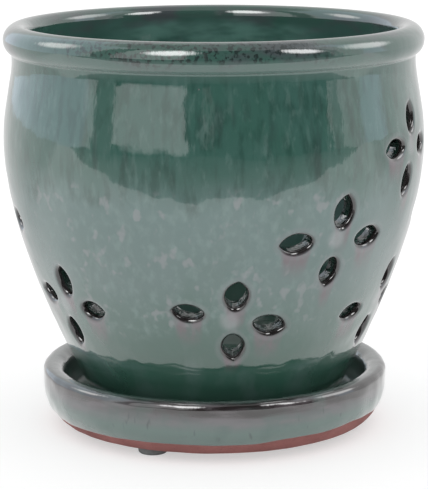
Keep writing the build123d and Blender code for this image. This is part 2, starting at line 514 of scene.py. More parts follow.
def perforated_wall_tree():
    """Node tree that lays the cells out on the unrolled wall and shapes their slots.

    On the unrolled wall x is the bearing in radians and y is the height in metres.
    """
    tree = bpy.data.node_groups.new("perforated_wall", "GeometryNodeTree")
    tree.interface.new_socket("Lattice", in_out="INPUT", socket_type="NodeSocketGeometry")
    tree.interface.new_socket("Wall", in_out="OUTPUT", socket_type="NodeSocketGeometry")
    for name, kind in (("Cells", "NodeSocketCollection"), ("Slot Length", "NodeSocketFloat"),
                       ("Slot Width", "NodeSocketFloat"), ("Cell Bearing", "NodeSocketFloat"),
                       ("Cell Height", "NodeSocketFloat"), ("Glaze", "NodeSocketMaterial")):
        tree.interface.new_socket(name, in_out="INPUT", socket_type=kind)
    node = partial(add_node, tree)
    given = node("NodeGroupInput").outputs
    held = {
        name: node("GeometryNodeInputNamedAttribute", {"Name": name}, data_type=kind)
        for name, kind in {**OUTLINE_KINDS, **POINT_KINDS}.items()
    }
    cells = node("GeometryNodeCollectionInfo",
                 {"Collection": given["Cells"], "Separate Children": True, "Reset Children": True})
    placed = node("GeometryNodeInstanceOnPoints", {
        "Points": given["Lattice"], "Instance": cells, "Pick Instance": True, "Instance Index": held["patch"],
    })
    real = node("GeometryNodeRealizeInstances", {"Geometry": placed})

    # The slot's outline: half the length and width of this slot, and the lip's growth beyond them
    growth = node("ShaderNodeSeparateXYZ", {"Vector": held["leaf"]}).outputs["Z"]
    length = node("ShaderNodeMath", {0: given["Slot Length"], 1: 0.5}, operation="MULTIPLY")
    width = node("ShaderNodeMath", {0: given["Slot Width"], 1: 0.5}, operation="MULTIPLY")
    usual = node("ShaderNodeCombineXYZ", {"X": length, "Y": width})
    grown = node("ShaderNodeCombineXYZ", {"X": growth, "Y": growth})
    half_size = node("ShaderNodeVectorMath", {0: usual, 1: held["size"], 2: grown}, operation="MULTIPLY_ADD")
    flat = node("ShaderNodeVectorMath", {0: held["leaf"], 1: half_size}, operation="MULTIPLY")
    outline = node("ShaderNodeVectorRotate", {"Vector": flat, "Angle": held["turn"]}, rotation_type="Z_AXIS")
    on_slot = node("ShaderNodeVectorMath", {0: outline, 1: held["stretch"], 2: held["slot_at"]},
                   operation="MULTIPLY_ADD")

    # The cell's edge, turned so that its +x corner is on the slot's sharp side
    quarter_turns = node("ShaderNodeMath", {0: held["petal"], 1: math.pi / 2}, operation="MULTIPLY")
    diamond = node("ShaderNodeVectorRotate", {"Vector": held["edge"], "Angle": quarter_turns},
                   rotation_type="Z_AXIS")
    cell_size = node("ShaderNodeCombineXYZ", {"X": given["Cell Bearing"], "Y": given["Cell Height"]})
    on_cell = node("ShaderNodeVectorMath", {0: diamond, 1: cell_size, 2: held["cell"]},
                   operation="MULTIPLY_ADD")
    place = node("ShaderNodeMix", {"Factor": held["spread"], 4: on_slot, 5: on_cell}, data_type="VECTOR")
    marked = node("GeometryNodeStoreNamedAttribute",
                  {"Geometry": real, "Name": "on_slot", "Value": on_slot}, data_type="FLOAT_VECTOR")
    shaped = node("GeometryNodeSetPosition", {"Geometry": marked, "Position": place})
    glazed = node("GeometryNodeSetMaterial", {"Geometry": shaped, "Material": given["Glaze"]})
    node("NodeGroupOutput", {"Wall": glazed})
    return tree


def made_plain(carrier, tree, values):
    """Runs a node tree on an object and returns the result as a plain mesh. The object is removed."""
    modifier = carrier.modifiers.new(tree.name, "NODES")
    modifier.node_group = tree
    for item in tree.interface.items_tree:
        if item.in_out == "INPUT" and item.name in values:
            modifier[item.identifier] = values[item.name]
    graph = bpy.context.evaluated_depsgraph_get()
    mesh = bpy.data.meshes.new_from_object(carrier.evaluated_get(graph), preserve_all_data_layers=True,
                                           depsgraph=graph)
    bpy.data.objects.remove(carrier)
    return mesh


def attribute_values(mesh, name, size=1):
    """A number attribute of a mesh as an array, or a vector attribute as rows of three."""
    values = np.empty(len(mesh.vertices) * size, dtype=np.float32)
    mesh.attributes[name].data.foreach_get("value" if size == 1 else "vector", values)
    return values.astype(float) if size == 1 else values.astype(float).reshape(-1, size)


# Pot: what the slots do to the wall round them. Bearings of points are in radians here.


def nearness(bearing, z, middle, middle_z, reach):
    """How near each point is to a place on the wall: 1 at the place, and fading over a reach."""
    around = within_half(bearing - math.radians(middle)) * wall_radius(middle_z)
    return np.exp(-(around**2 + (z - middle_z) ** 2) / reach**2)


def runs_under_slots(bearing, z):
    """How strongly glaze has run off the slots at each point, from 0 to 1."""
    runs = np.zeros(len(z))
    for slot_bearing, slot_z, turn, length, width, _ in SLOTS.values():
        sine, cosine = math.sin(math.radians(turn)), math.cos(math.radians(turn))
        half_across = math.hypot(length * cosine, width * sine) / 2
        half_up = math.hypot(length * sine, width * cosine) / 2
        off = np.abs(within_half(bearing - math.radians(slot_bearing))) * wall_radius(z)
        below = slot_z - half_up * np.sqrt(np.clip(1 - (off / half_across) ** 2, RUN_BLUNTNESS, 1)) - z
        sides = np.clip((half_across + RUN_OVERHANG - off) / RUN_SIDE_SOFTNESS, 0, 1)
        left = np.clip(1 - below / RUN_LENGTH, 0, 1) ** RUN_THINNING
        runs = np.maximum(runs, sides * np.clip(1 + below / RUN_RISE, 0, 1) * left)
    return runs * np.clip((z - RUN_END_Z) / RUN_END_SOFTNESS, 0, 1)


def thin_middles(bearing, z):
    """How near each point is to a flower's middle, where the glaze ran off thin, from 0 to 1."""
    most = np.zeros(len(z))
    for i, j, _ in slot_lattice().values():
        middle, middle_z = cell_middle(i, j)
        most = np.maximum(most, nearness(bearing, z, middle, middle_z + MIDDLE_RISE, MIDDLE_REACH))
    return most


def carried_along(bearing, z):
    """How far the slots carry the cells' edges at each point: round in radians, and up in mm.

    Between slots it is their mean, and it fades out where the slotted wall ends.
    """
    from_slots = np.zeros((3, len(z)))
    for cell, (slot_bearing, slot_z, *_) in SLOTS.items():
        middle, middle_z = cell_middle(*cell)
        around = math.radians(within_half(slot_bearing - middle, 360))
        pull = nearness(bearing, z, middle, middle_z, CARRY_LENGTH)
        from_slots += pull * np.array([[around], [slot_z - middle_z], [1.0]])
    fade = np.clip(np.minimum(z - SLOTTED_LOW_Z, SLOTTED_HIGH_Z - z) / (CELL_Z / 2), 0, 1)
    share = fade**2 * (3 - 2 * fade) / (from_slots[2] + REGULAR_PULL)
    return share * from_slots[0], share * from_slots[1]


def perforated_wall(glaze):
    """The pot's wall with its slots, as a plain mesh in millimetres, with its firing marks and the
    painted shade of its tunnels as attributes.
    """
    cells = bpy.data.collections.new("wall_cells")
    # The numbers in the names are the lattice points' patches
    for number, mesh in enumerate((plain_cell(), slot_cell(), plain_cell(1), plain_cell(-1))):
        cells.objects.link(bpy.data.objects.new(f"cell_{number}", mesh))
    mesh = made_plain(new_object("lattice", lattice_points()), perforated_wall_tree(), {
        "Cells": cells, "Slot Length": SLOT_LENGTH * MM, "Slot Width": SLOT_WIDTH * MM,
        "Cell Bearing": math.radians(CELL_BEARING), "Cell Height": CELL_Z * MM, "Glaze": glaze,
    })
    for obj in list(cells.objects):
        bpy.data.objects.remove(obj)
    bpy.data.collections.remove(cells)

    # On the unrolled wall, the cells' edges follow the slots from their regular places
    bearing, z, _ = attribute_values(mesh, "position", 3).T
    z = z / MM
    spread, depth_share, depth = (attribute_values(mesh, name) for name in ("spread", "depth_share", "depth"))
    slot_middle = attribute_values(mesh, "slot_at", 3)[:, 0]
    slot_bearing, slot_z, _ = attribute_values(mesh, "on_slot", 3).T
    slot_z = slot_z / MM
    outside_slot = np.where(spread > 0, spread, 1)
    cell_bearing = slot_bearing + (bearing - slot_bearing) / outside_slot
    cell_z = slot_z + (z - slot_z) / outside_slot
    around, up = carried_along(cell_bearing, cell_z)
    bearing, z = bearing + spread * around, z + spread * up

    # How near the slot's edge is, for the lip and the wall round it. Growth is zero off the slots' cells.
    growth = attribute_values(mesh, "leaf", 3)[:, 2] / MM
    in_cell = (growth > 0) | (spread < 1)
    off = np.hypot((bearing - slot_bearing) * wall_radius(z), z - slot_z)
    marks = {
        "slot_nearness": np.where(in_cell, np.clip(SLOT_REACH - growth - off, 0, None), 0),
        "tunnel": 4 * depth_share * (1 - depth_share),
        "run": np.where(depth_share < 0.5, runs_under_slots(bearing, z), 0),
        "flower_middle": thin_middles(bearing, z),
    }
    for name, values in marks.items():
        mesh.attributes.new(name, "FLOAT", "POINT").data.foreach_set("value", values.astype(np.float32))

    # The tunnels' walls are parallel, so a slot keeps its size inside although bearings converge
    radius = wall_radius(z)
    widening = radius / (radius - depth_share * wall_gap(z) - depth)
    bearing = bearing + (1 - spread) * (bearing - slot_middle) * (widening - 1)
    mesh.vertices.foreach_set("co", on_wall(bearing, z, depth_share, depth).ravel())
    return mesh


# Lathe work: profiles are lists of (radius, z), and corners are rounded with arcs


def rounded(points, radii, steps=6):
    """A profile with its inner corners replaced by arcs."""
    out = [points[0]]
    for before, corner, after, radius in zip(points, points[1:], points[2:], radii):
        a, b = (Vector(p) - Vector(corner) for p in (before, after))
        half = a.angle(b) / 2
        reach = radius / math.tan(half)
        middle = Vector(corner) + (a.normalized() + b.normalized()).normalized() * (radius / math.sin(half))
        start = Vector(corner) + a.normalized() * reach - middle
        end = Vector(corner) + b.normalized() * reach - middle
        turn = start.angle(end) * (1 if start.cross(end) > 0 else -1)
        for k in range(steps + 1):
            arm = Matrix.Rotation(turn * k / steps, 2) @ start
            out.append(tuple(middle + arm))
    out.append(points[-1])
    return out


def arc(middle, radius, start, end, steps):
    """Points on an arc, with angles in degrees from the +radius direction towards +z."""
    angles = [math.radians(start + (end - start) * k / steps) for k in range(steps + 1)]
    return [(middle[0] + radius * math.cos(a), middle[1] + radius * math.sin(a)) for a in angles]


def lathe(bm, profile, columns, bearing=0.0, shape=None):
    """Revolves a profile about Z into a bmesh and returns its rings of vertices and bands of faces.

    Ends on the axis are closed to a point. A shape gives a point's radius and height at a bearing.
    """
    rings, bands = [], []
    for number, (radius, z) in enumerate(profile):
        if radius < ON_AXIS:
            rings.append([bm.verts.new((0, 0, z))] * columns)
            continue
        ring = []
        for k in range(columns):
            turn = bearing + 360 * k / columns
            r, height = shape(number, turn) if shape else (radius, z)
            angle = math.radians(turn)
            ring.append(bm.verts.new((r * math.sin(angle), -r * math.cos(angle), height)))
        rings.append(ring)
    for low, high in zip(rings, rings[1:]):
        band = []
        for k in range(columns):
            n = (k + 1) % columns
            corners = dict.fromkeys((low[k], low[n], high[n], high[k]))
            band.append(bm.faces.new(corners))
        bands.append(band)
    return rings, bands


def pot_foot_profile():
    """From the lowest ring of the slotted wall, round the foot and the floor, to its inner ring."""
    heights = np.linspace(SLOTTED_LOW_Z, FOOT_Z + FOOT_EDGE_HEIGHT, LOW_WALL_STEPS + 1)
    outside = [(float(wall_radius(z)), float(z)) for z in heights]
    _, front, inner_z = on_wall(np.array([0.0]), np.array([SLOTTED_LOW_Z]), 1.0, 0.0)[0]
    inner = (-front, inner_z)
    under = rounded(
        [outside[-1], (FOOT_RADIUS, FOOT_Z), (FOOT_RING_INSIDE, FOOT_Z), (FOOT_RING_INSIDE, POT_UNDER_Z),
         (DRAIN_RADIUS, POT_UNDER_Z), (DRAIN_RADIUS, POT_FLOOR_Z),
         (inner[0] - 2 * POT_FLOOR_BEVEL, POT_FLOOR_Z), inner],
        [FOOT_ROUNDING, FOOT_RING_ROUNDING, FOOT_RING_ROUNDING, DRAIN_UNDER_ROUNDING, DRAIN_FLOOR_ROUNDING,
         POT_FLOOR_ROUNDING])
    return outside[:-1] + under


def rim_profile():
    """From the highest ring of the slotted wall, over the rim's bead, to its inner ring."""
    neck_inside = NECK_RADIUS - NECK_WALL
    # The inner rounding touches the bead's circle from within and the inside of the neck
    off = neck_inside + RIM_ROUNDING - BEAD_CIRCLE
    turn = math.degrees(math.acos(off / (BEAD_RADIUS - RIM_ROUNDING)))
    rounding_z = RIM_Z + math.sqrt((BEAD_RADIUS - RIM_ROUNDING) ** 2 - off**2)
    bead = arc((BEAD_CIRCLE, RIM_Z), BEAD_RADIUS, BEAD_START, turn, BEAD_STEPS)
    rounding = arc((BEAD_CIRCLE + off, rounding_z), RIM_ROUNDING, turn, 180, RIM_ROUNDING_STEPS)
    # The line of the bead's end meets the neck, and the cove rounds that corner
    (r1, z1), (r2, z2) = bead[1], bead[0]
    joint = (NECK_RADIUS, z2 + (z2 - z1) * (NECK_RADIUS - r2) / (r2 - r1))
    outer = rounded([(NECK_RADIUS, SLOTTED_HIGH_Z), joint, bead[0]], [OUTER_COVE], OUTER_COVE_STEPS)
    inside_heights = np.linspace(rounding[-1][1], SLOTTED_HIGH_Z, NECK_INSIDE_RINGS)
    return outer[:-1] + bead + rounding[1:] + [(neck_inside, z) for z in inside_heights[1:]]


def wavering(bm):
    """Moves every point in by a little, as a wall thrown by hand wavers. Heights stay."""
    for vertex in bm.verts:
        place = vertex.co
        radius = math.hypot(place.x, place.y)
        if radius < STILL_RADIUS:
            continue
        swell = noise.noise(place / WAVER_LENGTH) + noise.noise(place * FINER_SWELL / WAVER_LENGTH) / 2
        low = max(0, 1 - place.z / LOW_RIPPLE_TOP_Z)
        ripple = RIPPLE * noise.noise(place / RIPPLE_LENGTH) * (1 + LOW_RIPPLE_GAIN * low)
        share = 1 - (WAVER * (WAVER_MEAN + WAVER_SWING * swell) + ripple) / radius
        place.x *= share
        place.y *= share


def finished_mesh(bm, name):
    """Joins doubles, turns the faces outwards, shades them smooth and scales to metres."""
    bmesh.ops.remove_doubles(bm, verts=bm.verts, dist=JOIN_LENGTH)
    bmesh.ops.recalc_face_normals(bm, faces=bm.faces)
    bmesh.ops.scale(bm, vec=(MM, MM, MM), verts=bm.verts)
    mesh = bpy.data.meshes.new(name)
    bm.to_mesh(mesh)
    bm.free()
    mesh.shade_smooth()
    return mesh


def make_pot(glaze):
    """The slotted wall, and the foot with its floor and the rim turned on to it, as one closed mesh."""
    bm = bmesh.new()
    bm.from_mesh(perforated_wall(glaze))
    for profile in (pot_foot_profile(), rim_profile()):
        lathe(bm, profile, COLUMNS, LATTICE_BEARING)
    # The node tree numbered its faces for a slot of its own, and the pot has one material
    for face in bm.faces:
        face.material_index = 0
    wavering(bm)
    return new_object("glazed_pot", finished_mesh(bm, "glazed_pot"), glaze)


# Saucer


def glaze_edge_z(bearing):
    """Height of the saucer's glaze edge at a bearing in degrees."""
    bearing = within_half(bearing, 360)
    angle = math.radians(bearing)
    place = Vector((math.sin(angle), math.cos(angle), 0)) * SAUCER_RADIUS / EDGE_RIPPLE_LENGTH
    return float(np.interp(bearing, *zip(*GLAZE_EDGE))) + EDGE_RIPPLE * noise.noise(place)


def saucer_side(z):
    """Radius of the saucer's side, an arc that is upright where it meets the straight part."""
    inset, rise = SAUCER_RADIUS - SAUCER_BASE_RADIUS, SAUCER_SIDE_Z - SAUCER_BASE_Z
    arc_radius = (inset**2 + rise**2) / (2 * inset)
    return SAUCER_RADIUS - arc_radius + math.sqrt(arc_radius**2 - (SAUCER_SIDE_Z - z) ** 2)


def saucer_profile():
    """From below the middle round to the floor's middle: the base, bare side, glazed side and lip."""
    under = rounded(
        [(0, SAUCER_UNDER_Z), (SAUCER_RING_INSIDE, SAUCER_UNDER_Z), (SAUCER_RING_INSIDE, SAUCER_BASE_Z),
         (SAUCER_BASE_RADIUS - GLAZE_THICKNESS, SAUCER_BASE_Z),
         (saucer_side(SAUCER_BASE_TOP_Z) - GLAZE_THICKNESS, SAUCER_BASE_TOP_Z)],
        [SAUCER_RING_ROUNDING, SAUCER_RING_ROUNDING, SAUCER_BASE_ROUNDING])
    bare_heights = np.linspace(BARE_START_Z, GLAZE_EDGE_Z, BARE_RINGS)
    bare = [(saucer_side(z) - GLAZE_THICKNESS, z) for z in bare_heights]
    glazed = []
    for turn in np.linspace(math.radians(EDGE_NOSE_START), math.pi / 2, EDGE_NOSE_RINGS):
        z = GLAZE_EDGE_Z + GLAZE_THICKNESS * (1 - math.cos(turn))
        glazed.append((saucer_side(z) - GLAZE_THICKNESS * (1 - math.sin(turn)), z))
    glazed += [(saucer_side(z), z) for z in np.linspace(GLAZED_START_Z, SAUCER_SIDE_Z, SAUCER_SIDE_RINGS)]
    straight_heights = np.linspace(SAUCER_SIDE_Z, SAUCER_LIP_Z, SAUCER_STRAIGHT_RINGS)
    straight = [(SAUCER_RADIUS, z) for z in straight_heights[1:-1]]

    # The line of the moat's wall, drawn up to the lip's falling top, gives the lip's inner corner
    lip_top = SAUCER_LIP_Z + SAUCER_LIP_RADIUS
    lip_inside = SAUCER_RADIUS - SAUCER_LIP_WIDTH
    lean = (lip_inside - SAUCER_FLOOR_RADIUS) / (SAUCER_LIP_Z - SAUCER_FLOOR_Z)
    inner_z = lip_top - LIP_INNER_FALL
    inner_corner = (SAUCER_FLOOR_RADIUS + lean * (inner_z - SAUCER_FLOOR_Z), inner_z)
    lip = rounded(
        [(SAUCER_RADIUS, SAUCER_LIP_Z), (SAUCER_RADIUS, lip_top - LIP_OUTER_FALL), inner_corner,
         (SAUCER_FLOOR_RADIUS, SAUCER_FLOOR_Z), (0, SAUCER_FLOOR_Z)],
        [LIP_OUTER_ROUNDING, LIP_INNER_ROUNDING, MOAT_ROUNDING], SAUCER_ROUNDING_STEPS)
    return under, bare, glazed, straight, lip


def make_saucer(glaze, clay, dull_glaze):
    under, bare, glazed, straight, lip = saucer_profile()
    profile = under + bare + glazed + straight + lip
    edge = len(under) + len(bare) - 1
    moat = len(profile) - len(lip) + MOAT_BAND

    def shape(number, bearing):
        """The wavy glaze edge carries the rings of the side up and down along it."""
        radius, z = profile[number]
        if not len(under) <= number < edge + len(glazed):
            return radius, z
        edge_z = glaze_edge_z(bearing)
        end_z = SAUCER_BASE_TOP_Z if z <= GLAZE_EDGE_Z else SAUCER_SIDE_Z
        new_z = edge_z + (end_z - edge_z) * (z - GLAZE_EDGE_Z) / (end_z - GLAZE_EDGE_Z)
        return saucer_side(new_z) + radius - saucer_side(z), new_z

    bm = bmesh.new()
    up_side = bm.verts.layers.float.new("up_side")
    rings, bands = lathe(bm, profile, SAUCER_COLUMNS, 0.0, shape)
    for number, band in enumerate(bands):
        for face in band:
            face.material_index = 1 if number < edge else 2 if number >= moat else 0
    # Distance in mm along the profile, up from the glaze edge, over the lip and down inside
    lengths = np.hypot(*np.diff(np.array(profile), axis=0).T)
    along = np.concatenate([[0], np.cumsum(lengths)])
    for ring, distance in zip(rings, along - along[edge]):
        for vertex in ring:
            vertex[up_side] = distance
    wavering(bm)
    return new_object("glazed_saucer", finished_mesh(bm, "glazed_saucer"), glaze, clay, dull_glaze)


def make_foot(node, rubber):
    """A rubber foot with rounded edges, in place of the plain one of a node."""
    low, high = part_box(node)
    middle = (low + high) / 2 / MM
    radius, height = (high - low).x / 2 / MM, (high - low).z / MM
    profile = rounded([(0, 0), (radius - PAD_DRAFT, 0), (radius, height), (0, height)], PAD_ROUNDINGS)
    bm = bmesh.new()
    lathe(bm, profile, PAD_COLUMNS)
    bmesh.ops.translate(bm, vec=(middle.x, middle.y, low.z / MM), verts=bm.verts)
    name = node + "_rubber"
    return new_object(name, finished_mesh(bm, name), rubber)


# Materials


def new_material(name):
    """A material without nodes, and the function that adds nodes to it."""
    material = bpy.data.materials.new(name)
    material.use_nodes = True
    material.node_tree.nodes.clear()
    return material, partial(add_node, material.node_tree)


def place_in_mm(node):
    """The place on the piece, in millimetres."""
    metres = node("ShaderNodeTexCoord").outputs["Object"]
    return node("ShaderNodeVectorMath", {0: metres, 1: (1 / MM,) * 3}, operation="MULTIPLY")


def blotches(node, place, size, detail, seed=None):
    """Noise whose blotches have a size in mm round the pot and up it. A seed gives it its own pattern."""
    around, upwards = size
    counted = node("ShaderNodeVectorMath", {0: place, 1: (1 / around, 1 / around, 1 / upwards)},
                   operation="MULTIPLY")
    inputs = {"Vector": counted, "Scale": 1.0, "Detail": detail}
    if seed is None:
        return node("ShaderNodeTexNoise", inputs)
    return node("ShaderNodeTexNoise", {"W": seed, **inputs}, noise_dimensions="4D")


def set_stops(ramp, stops):
    """Gives a colour ramp its stops, from positions and sRGB hex colours."""
    elements = ramp.color_ramp.elements
    for number, (position, colour) in enumerate(stops):
        stop = elements[number] if number < 2 else elements.new(position)
        stop.position, stop.color = position, linear(colour)


# The colours of the glaze by height in mm above the ground, and on the saucer by distance up its
# side from the glaze edge, over the lip and down inside. The levels sway a little.
POT_HEIGHTS = (
    (0, "#638b7c"), (28, "#335549"), (45, "#355b50"), (58, "#4a6861"), (70, "#566f6c"),
    (98, "#54706d"), (112, "#3c6158"), (146, "#3a5f57"), (151, "#3f5f58"), (160, "#38584f"),
)
# Painted light: the saucer's stops from 24 on, inside the lip and in the moat, are lighter to lift the moat's
# shade
SAUCER_HEIGHTS = (
    (0, "#34524b"), (1.2, "#506a64"), (6, "#58706a"), (9.5, "#5f6767"), (12.2, "#524e51"), (13.8, "#352d2e"),
    (16.5, "#2e2829"), (18.5, "#4b5553"), (24, "#6c7674"), (31, "#5a8476"), (60, "#578374"),
)
POT_SWAY = 14.0
SAUCER_SWAY = 2.45
SWAY_LENGTH = 24.0

# Each layer of a glaze is one colour in blotches: their size round and up in mm, the range of the
# noise over which they set in, how strongly they cover, and the noise's detail where it isn't the
# usual one. A layer may keep to a range of heights, to one side (a bearing and how far out that
# way it sets in), or to the pot's inside (the radii where it fades). A range of heights sets in
# and ends over some mm, or over a share of the range if that is less.
POT_LAYERS = (
    {"colour": "#2c5a4b", "size": (22, 34), "noise": (0.46, 0.74), "cover": 0.4},
    {"colour": "#5d726f", "size": (9, 30), "noise": (0.46, 0.72), "cover": 0.35, "heights": (0, 110)},
    {"colour": "#2a3937", "size": (5, 30), "noise": (0.54, 0.72), "cover": 0.5, "heights": (106, 150)},
    {"colour": "#5f7a74", "size": (4, 26), "noise": (0.54, 0.76), "cover": 0.4, "heights": (112, 150),
     "detail": 2},
    {"colour": "#1d3f36", "size": (3.6, 13), "noise": (0.46, 0.66), "cover": 0.5, "heights": (96, 150),
     "detail": 4},
    {"colour": "#6f8a84", "size": (2.6, 7), "noise": (0.50, 0.74), "cover": 0.3, "heights": (92, 150),
     "detail": 4},
    {"colour": "#6a837f", "size": (3.0, 4.4), "noise": (0.44, 0.78), "cover": 0.7, "heights": (46, 106),
     "toward": (-10, 40, 72), "detail": 2},
    {"colour": "#85888b", "size": (5.0, 6.5), "noise": (0.57, 0.68), "cover": 0.6, "heights": (46, 108),
     "toward": (-8, 36, 68), "detail": 2},
    {"colour": "#4c4a52", "size": (22, 9), "noise": (0.46, 0.66), "cover": 0.7, "heights": (149, 170)},
    {"colour": "#1f2b2a", "size": (1.5, 1.6), "noise": (0.47, 0.61), "cover": 0.85, "heights": (151, 170),
     "toward": (-10, 50, 74), "detail": 2},
    # Painted light and reflection: a lighter green on the pot's inside at the back
    {"colour": "#6f9c91", "size": (16, 5), "noise": (0.25, 0.65), "cover": 0.6, "heights": (130, 156),
     "toward": (180, 52, 70), "within": (77, 74), "detail": 2},
)
SAUCER_LAYERS = (
    {"colour": "#3c5b54", "size": (12, 14), "noise": (0.46, 0.72), "cover": 0.5},
    {"colour": "#6d676c", "size": (18, 5), "noise": (0.46, 0.68), "cover": 0.6, "heights": (7, 20)},
    {"colour": "#1f1919", "size": (26, 3.5), "noise": (0.38, 0.54), "cover": 0.9, "heights": (11.5, 19),
     "toward": (30, 22, 56)},
    {"colour": "#2f292b", "size": (16, 9), "noise": (0.40, 0.58), "cover": 0.35, "heights": (21, 44)},
    {"colour": "#2f3a39", "size": (2.2, 7), "noise": (0.62, 0.76), "cover": 0.6, "heights": (1, 14),
     "detail": 1},
)
USUAL_DETAIL = 3
HEIGHT_SOFTNESS = 6.0
HEIGHT_SOFT_SHARE = 0.2
# A layer's number times this is the seed of its pattern
LAYER_SEED_STEP = 3.7

# Marks round the slots: the wall's attribute that says where, the range of its values over which
# the mark sets in, how strongly it covers, and its colour. Runs are streaky.
# Near-black: glaze broken over the slots' lips and in pinholes, and painted shade in the slots' tunnels
BROKEN_GLAZE_AND_SHADE = "#211d1d"
SLOT_MARKS = (
    ("run", (0.05, 0.75), 0.95, "#62555b"),
    ("slot_nearness", (0.3, 1.8), 0.22, "#7c787f"),
    ("flower_middle", (0.1, 0.8), 0.5, "#969a9c"),
    # Near-black over the lip's inner part, which is broken glaze, and all through the tunnel, which is
    # painted shade
    ("slot_nearness", (2.3, 3.6), 1.0, BROKEN_GLAZE_AND_SHADE),
    # Dark green in the tunnel's middle: pooled glaze, and painted shade deep in the slot
    ("tunnel", (0.25, 0.8), 0.95, "#1c3029"),
)
STREAK_SIZE = (2.857, 16.667)

# The glaze's skin in mm: an orange peel over upright drips, with pinholes, and lumps in the slots
PEEL_LENGTH = 2.6
PEEL_DEPTH = 0.011
DRIP_SIZE = (3.333, 14.286)
DRIP_DEPTH = 0.07
LUMP_LENGTH = 1.5
LUMP_DEPTH = 0.45
PINHOLE_SPACING = 13.0
PINHOLE_RADIUS = 0.35
PINHOLE_FLOOR_SHARE = 0.3
PINHOLE_DEPTH = 0.15


def layer_limits(node, place, height, layer):
    """What a layer keeps to: measures, each with where the layer is absent and where it is full."""
    if "heights" in layer:
        low, high = layer["heights"]
        soft = min(HEIGHT_SOFTNESS, (high - low) * HEIGHT_SOFT_SHARE)
        yield height, low, low + soft
        yield height, high, high - soft
    if "toward" in layer:
        bearing, none, full = layer["toward"]
        angle = math.radians(bearing)
        out = node("ShaderNodeVectorMath", {0: place, 1: (math.sin(angle), -math.cos(angle), 0)},
                   operation="DOT_PRODUCT")
        yield out.outputs["Value"], none, full
    if "within" in layer:
        level = node("ShaderNodeVectorMath", {0: place, 1: (1, 1, 0)}, operation="MULTIPLY")
        radius = node("ShaderNodeVectorMath", {0: level}, operation="LENGTH")
        none, full = layer["within"]
        yield radius.outputs["Value"], none, full


def glaze_colour(node, place, height, heights, layers):
    """The glaze's colour by height, with its layers of blotches over it."""
    highest = heights[-1][0]
    share = node("ShaderNodeMath", {0: height, 1: highest}, operation="DIVIDE")
    colour = node("ShaderNodeValToRGB", {"Fac": share})
    set_stops(colour, [(level / highest, shade) for level, shade in heights])
    for number, layer in enumerate(layers):
        detail = layer.get("detail", USUAL_DETAIL)
        spots = blotches(node, place, layer["size"], detail, LAYER_SEED_STEP * number)
        none, full = layer["noise"]
        mask = node("ShaderNodeMapRange", {
            "Value": spots, "From Min": none, "From Max": full, "To Max": layer["cover"],
        }, interpolation_type="SMOOTHSTEP")
        for measure, none, full in layer_limits(node, place, height, layer):
            limit = node("ShaderNodeMapRange", {"Value": measure, "From Min": none, "From Max": full},
                         interpolation_type="SMOOTHSTEP")
            mask = node("ShaderNodeMath", {0: mask, 1: limit}, operation="MULTIPLY")
        colour = node("ShaderNodeMix", {"Factor": mask, 6: colour, 7: linear(layer["colour"])},
                      data_type="RGBA")
    return colour


def with_slot_marks(node, place, colour):
    """The glaze's colour with the slots' firing marks, and painted shade in their tunnels."""
    streaks = blotches(node, place, STREAK_SIZE, detail=2)
    patchy = node("ShaderNodeMapRange", {"Value": streaks, "From Min": 0.3, "From Max": 0.6, "To Min": 0.35})
    for mark, (none, full), cover, shade in SLOT_MARKS:
        value = node("ShaderNodeAttribute", attribute_name=mark).outputs["Fac"]
        mask = node("ShaderNodeMapRange", {
            "Value": value, "From Min": none, "From Max": full, "To Max": cover,
        }, interpolation_type="SMOOTHSTEP")
        if mark == "run":
            mask = node("ShaderNodeMath", {0: mask, 1: patchy}, operation="MULTIPLY")
        colour = node("ShaderNodeMix", {"Factor": mask, 6: colour, 7: linear(shade)}, data_type="RGBA")
    return colour


def glaze_skin(node, place, hole, slotted):
    """How far in mm the glaze's skin stands out at each place."""
    drips = blotches(node, place, DRIP_SIZE, detail=3)
    skin = node("ShaderNodeMath", {0: drips, 1: DRIP_DEPTH}, operation="MULTIPLY")
    peel = node("ShaderNodeTexNoise", {"Vector": place, "Scale": 1 / PEEL_LENGTH, "Detail": 1.0})
    skin = node("ShaderNodeMath", {0: peel, 1: PEEL_DEPTH, 2: skin}, operation="MULTIPLY_ADD")
    skin = node("ShaderNodeMath", {0: hole, 1: -PINHOLE_DEPTH, 2: skin}, operation="MULTIPLY_ADD")
    if not slotted:
        return skin
    # The slots' walls were torn by the cutter, and the glaze lies lumpy on them
    lumps = node("ShaderNodeTexNoise", {"Vector": place, "Scale": 1 / LUMP_LENGTH, "Detail": 2.0})
    inside = node("ShaderNodeAttribute", attribute_name="tunnel").outputs["Fac"]
    lumps = node("ShaderNodeMath", {0: lumps, 1: inside}, operation="MULTIPLY")
    return node("ShaderNodeMath", {0: lumps, 1: LUMP_DEPTH, 2: skin}, operation="MULTIPLY_ADD")


